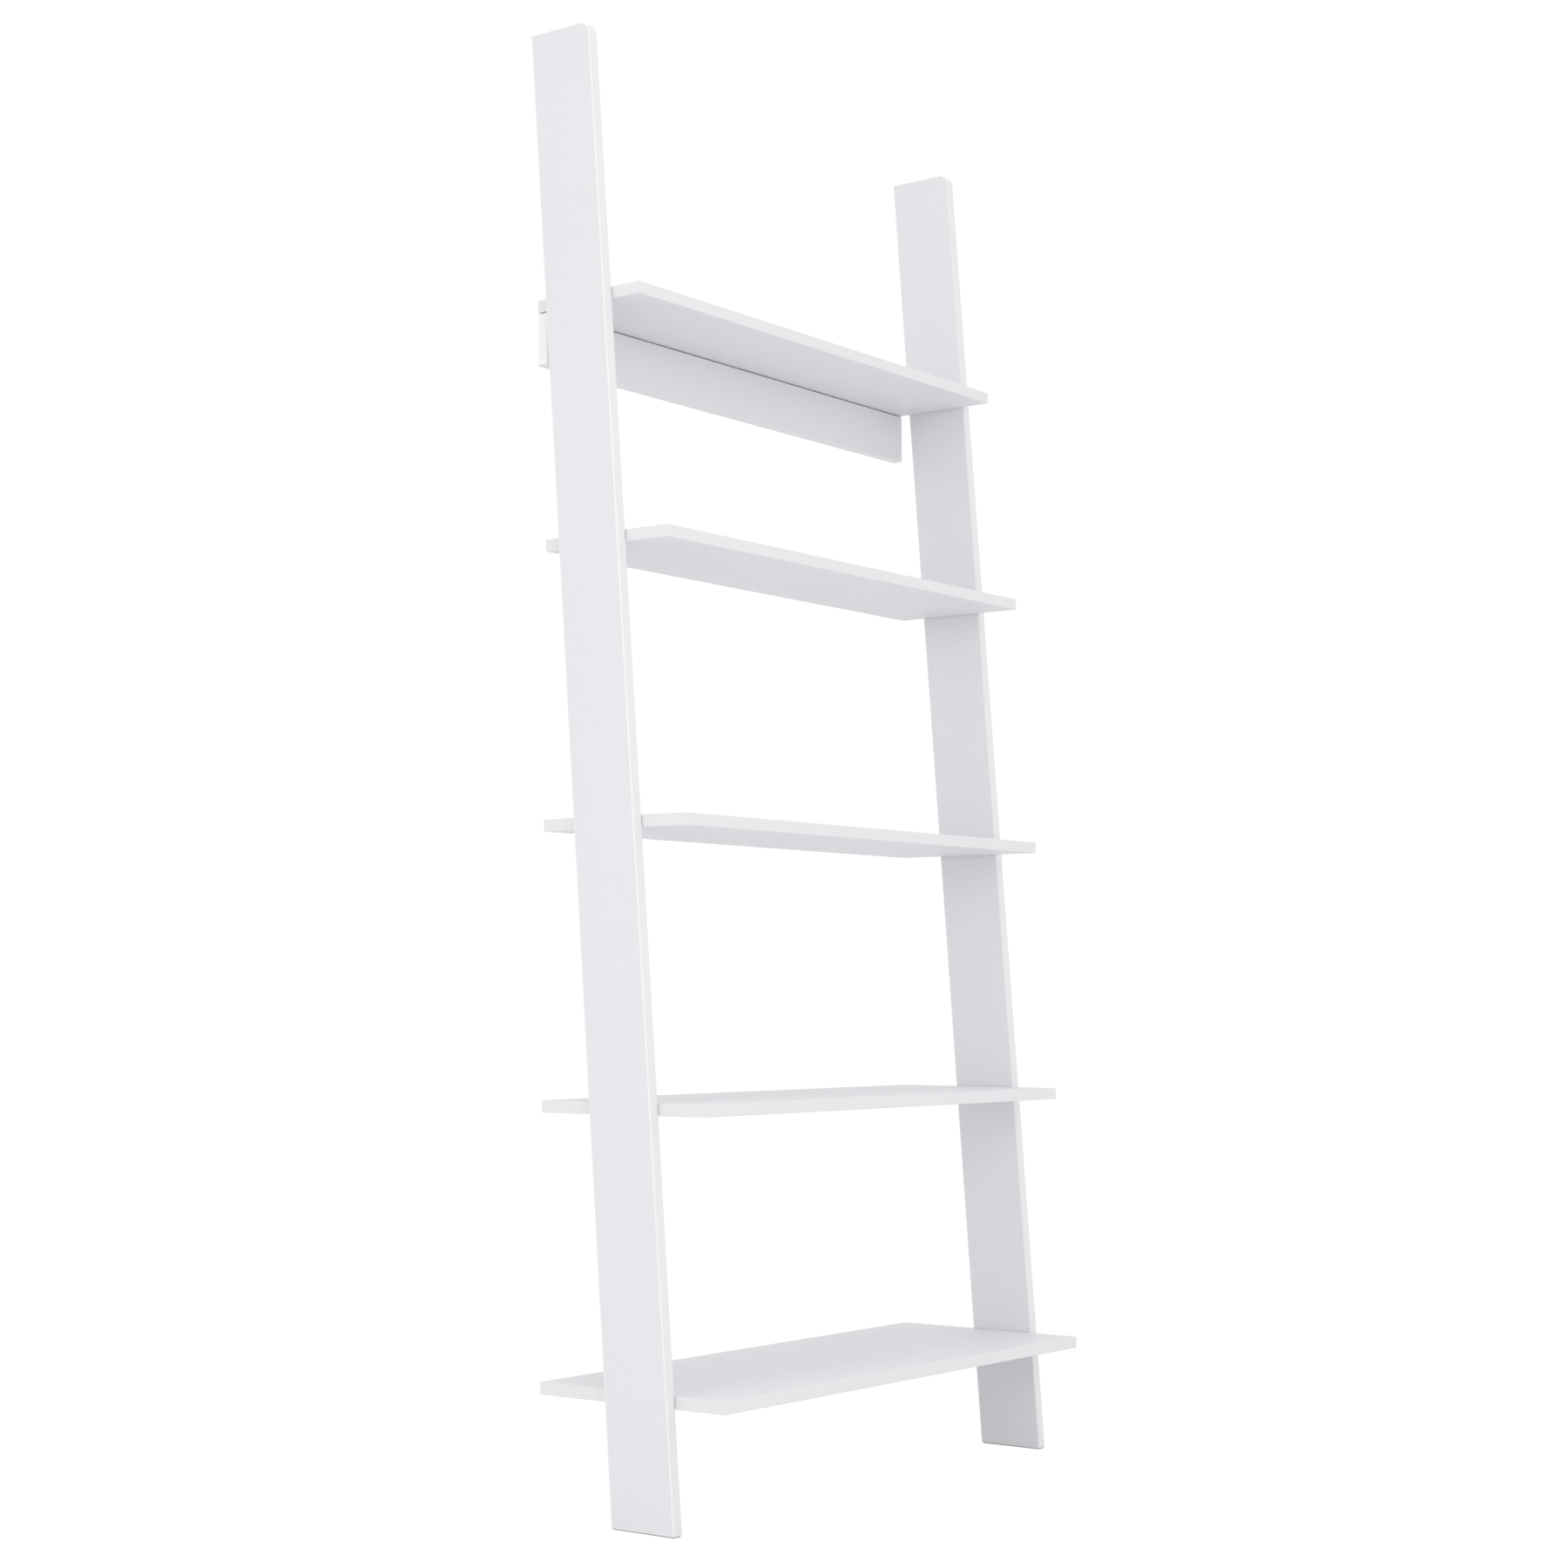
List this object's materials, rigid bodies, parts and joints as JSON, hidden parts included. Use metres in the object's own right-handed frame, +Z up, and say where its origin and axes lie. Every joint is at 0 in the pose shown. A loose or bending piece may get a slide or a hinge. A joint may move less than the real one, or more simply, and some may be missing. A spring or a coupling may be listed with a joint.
{
  "type": "ladder shelf",
  "caption": "Leaning ladder shelf in white laminated board: flat side rails that lean back to the wall, shelves that get shallower upwards, and an upright wall rail under the top one.",
  "frame": {"origin": "on the floor, at the centre of the outer width and depth", "axes": "+X to the right seen from the room, +Y back to the wall, +Z up"},
  "size_m": [0.802, 0.296, 1.8],
  "materials": {
    "white_laminate": "white melamine-faced particle board with white edge banding, satin",
    "zinc": "zinc die casting, plain",
    "bright_steel": "zinc-plated steel",
    "beech": "raw fluted beech",
    "white_plastic": "moulded white plastic, fine texture",
    "grey_plastic": "moulded grey plastic"
  },
  "bodies": {
    "root": {"left_side_rail": "white_laminate", "right_side_rail": "white_laminate", "shelf_1": "white_laminate", "shelf_2": "white_laminate", "shelf_3": "white_laminate", "shelf_4": "white_laminate", "shelf_5": "white_laminate", "wall_rail": "white_laminate", "cam_bolt_shelf_1_left": "bright_steel", "cam_lock_shelf_1_left": "zinc", "dowel_shelf_1_left": "beech", "cam_cap_shelf_1_left": "white_plastic", "cam_bolt_shelf_1_right": "bright_steel", "cam_lock_shelf_1_right": "zinc", "dowel_shelf_1_right": "beech", "cam_cap_shelf_1_right": "white_plastic", "cam_bolt_shelf_2_left": "bright_steel", "cam_lock_shelf_2_left": "zinc", "dowel_shelf_2_left": "beech", "cam_cap_shelf_2_left": "white_plastic", "cam_bolt_shelf_2_right": "bright_steel", "cam_lock_shelf_2_right": "zinc", "dowel_shelf_2_right": "beech", "cam_cap_shelf_2_right": "white_plastic", "cam_bolt_shelf_3_left": "bright_steel", "cam_lock_shelf_3_left": "zinc", "dowel_shelf_3_left": "beech", "cam_cap_shelf_3_left": "white_plastic", "cam_bolt_shelf_3_right": "bright_steel", "cam_lock_shelf_3_right": "zinc", "dowel_shelf_3_right": "beech", "cam_cap_shelf_3_right": "white_plastic", "cam_bolt_shelf_4_left": "bright_steel", "cam_lock_shelf_4_left": "zinc", "dowel_shelf_4_left": "beech", "cam_cap_shelf_4_left": "white_plastic", "cam_bolt_shelf_4_right": "bright_steel", "cam_lock_shelf_4_right": "zinc", "dowel_shelf_4_right": "beech", "cam_cap_shelf_4_right": "white_plastic", "cam_bolt_shelf_5_left": "bright_steel", "cam_lock_shelf_5_left": "zinc", "dowel_shelf_5_left": "beech", "cam_cap_shelf_5_left": "white_plastic", "cam_bolt_shelf_5_right": "bright_steel", "cam_lock_shelf_5_right": "zinc", "dowel_shelf_5_right": "beech", "cam_cap_shelf_5_right": "white_plastic", "cam_bolt_wall_rail_left": "bright_steel", "cam_lock_wall_rail_left": "zinc", "dowel_wall_rail_left": "beech", "cam_bolt_wall_rail_right": "bright_steel", "cam_lock_wall_rail_right": "zinc", "dowel_wall_rail_right": "beech", "foot_pad_left": "grey_plastic", "foot_pad_right": "grey_plastic"}
  },
  "joints": []
}
